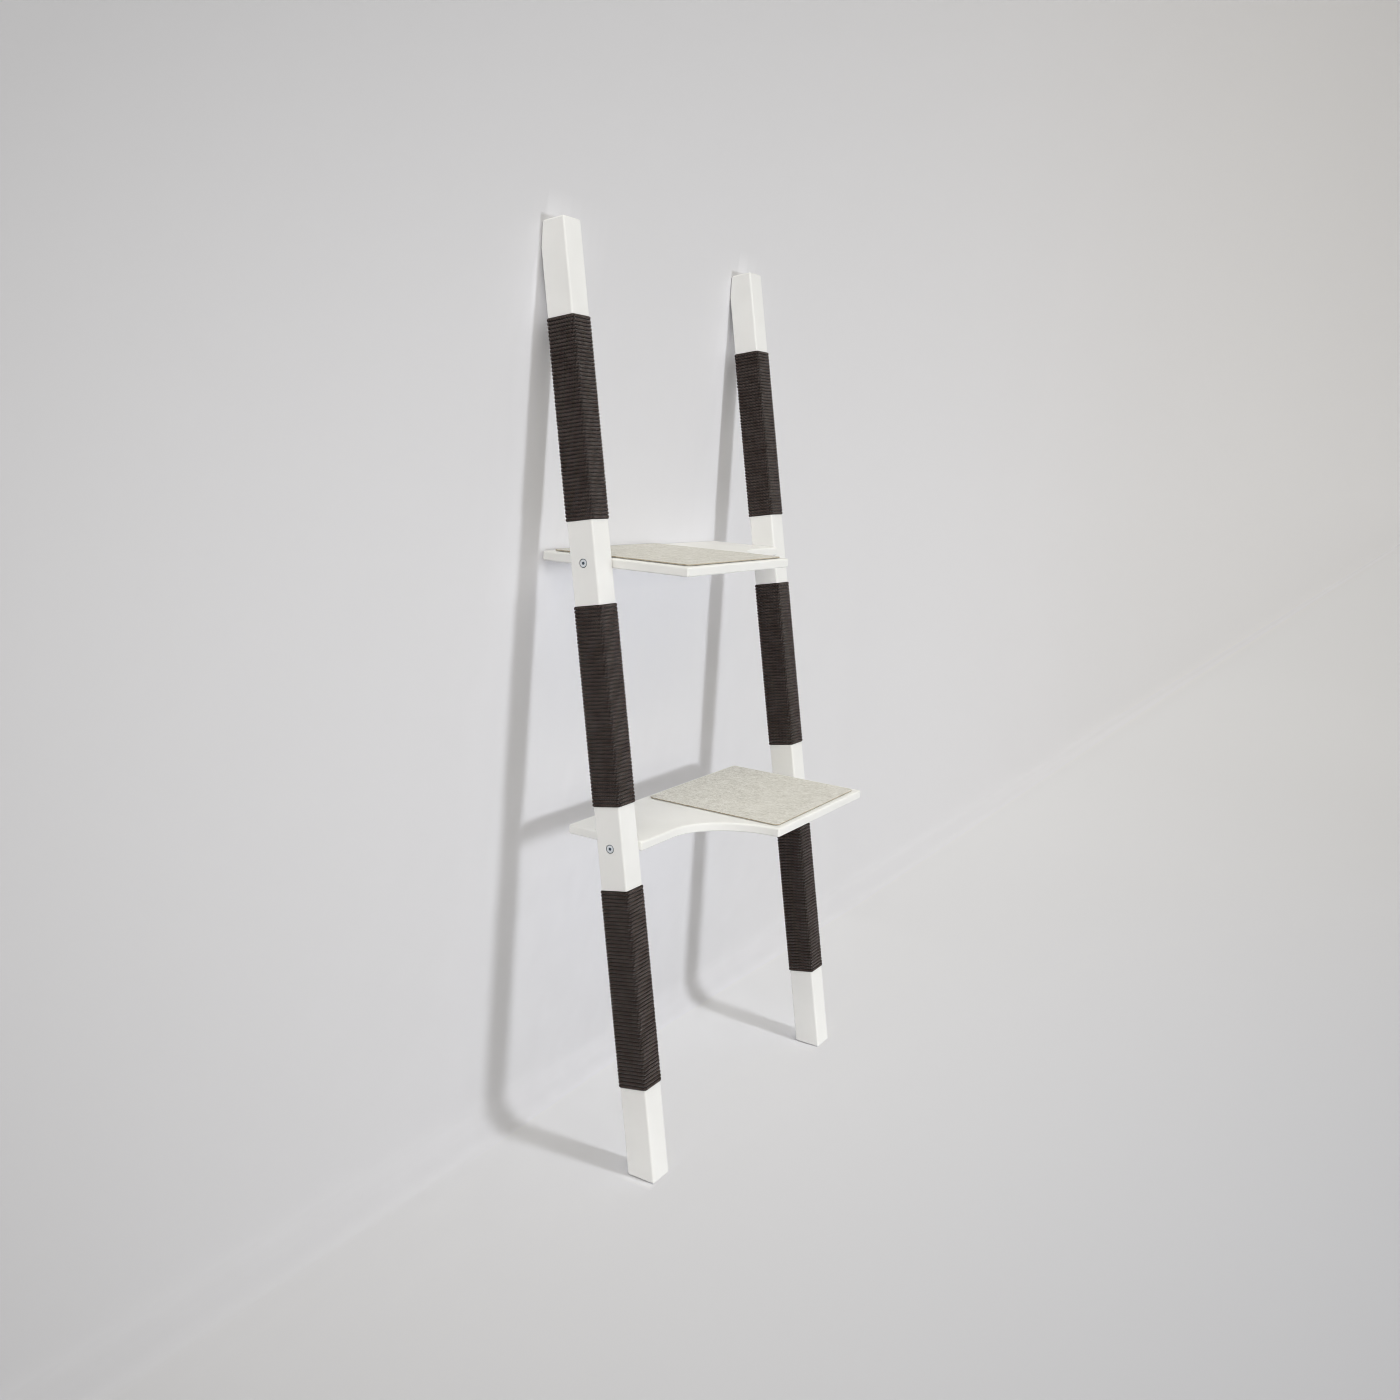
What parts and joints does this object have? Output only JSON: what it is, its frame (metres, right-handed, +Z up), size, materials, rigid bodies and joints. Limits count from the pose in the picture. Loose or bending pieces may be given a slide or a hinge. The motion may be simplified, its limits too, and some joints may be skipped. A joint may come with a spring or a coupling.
{
  "type": "cat scratching tree",
  "caption": "Leaning ladder cat scratching tree: square posts wound with rope in recesses, cove-fronted shelves bolted between them on alternate sides, each with a felt mat.",
  "frame": {"origin": "on the floor, midway between the posts, and midway between the lower shelf's front edge and the wall", "axes": "+X along the wall, to the right seen from the room; +Y towards the wall, the way the posts lean; +Z up"},
  "size_m": [0.855, 0.4446, 1.8578],
  "materials": {
    "white_lacquered_wood": "satin white lacquer over solid wood, edges rounded",
    "sisal_rope": "twisted dark brown-black rope, fibrous and matt",
    "wool_felt": "pressed wool felt, mottled light greige, cut edges",
    "zinc_plated_steel": "bright zinc plate, smooth",
    "beech": "plain beech, unfinished",
    "rubber_pad": "matt grey rubber",
    "hook_tape": "white nylon hook tape"
  },
  "bodies": {
    "ladder": {"left_foot_pad": "rubber_pad", "left_post": "white_lacquered_wood", "left_rope_bottom": "sisal_rope", "left_rope_middle": "sisal_rope", "left_rope_top": "sisal_rope", "lower_mat_hooks": "hook_tape", "lower_shelf": "white_lacquered_wood", "right_foot_pad": "rubber_pad", "right_post": "white_lacquered_wood", "right_rope_bottom": "sisal_rope", "right_rope_middle": "sisal_rope", "right_rope_top": "sisal_rope", "shelf_bolts": "zinc_plated_steel", "shelf_nuts": "zinc_plated_steel", "shelf_tenons": "beech", "upper_mat_hooks": "hook_tape", "upper_shelf": "white_lacquered_wood", "wall_hangers": "zinc_plated_steel"},
    "upper_mat": {"upper_mat": "wool_felt"},
    "lower_mat": {"lower_mat": "wool_felt"}
  },
  "joints": [
    {"name": "upper_mat_lift", "type": "slide", "parent": "ladder", "child": "upper_mat", "axis": [0, 0, 1], "range_m": [0, 0.12]},
    {"name": "lower_mat_lift", "type": "slide", "parent": "ladder", "child": "lower_mat", "axis": [0, 0, 1], "range_m": [0, 0.12]}
  ]
}
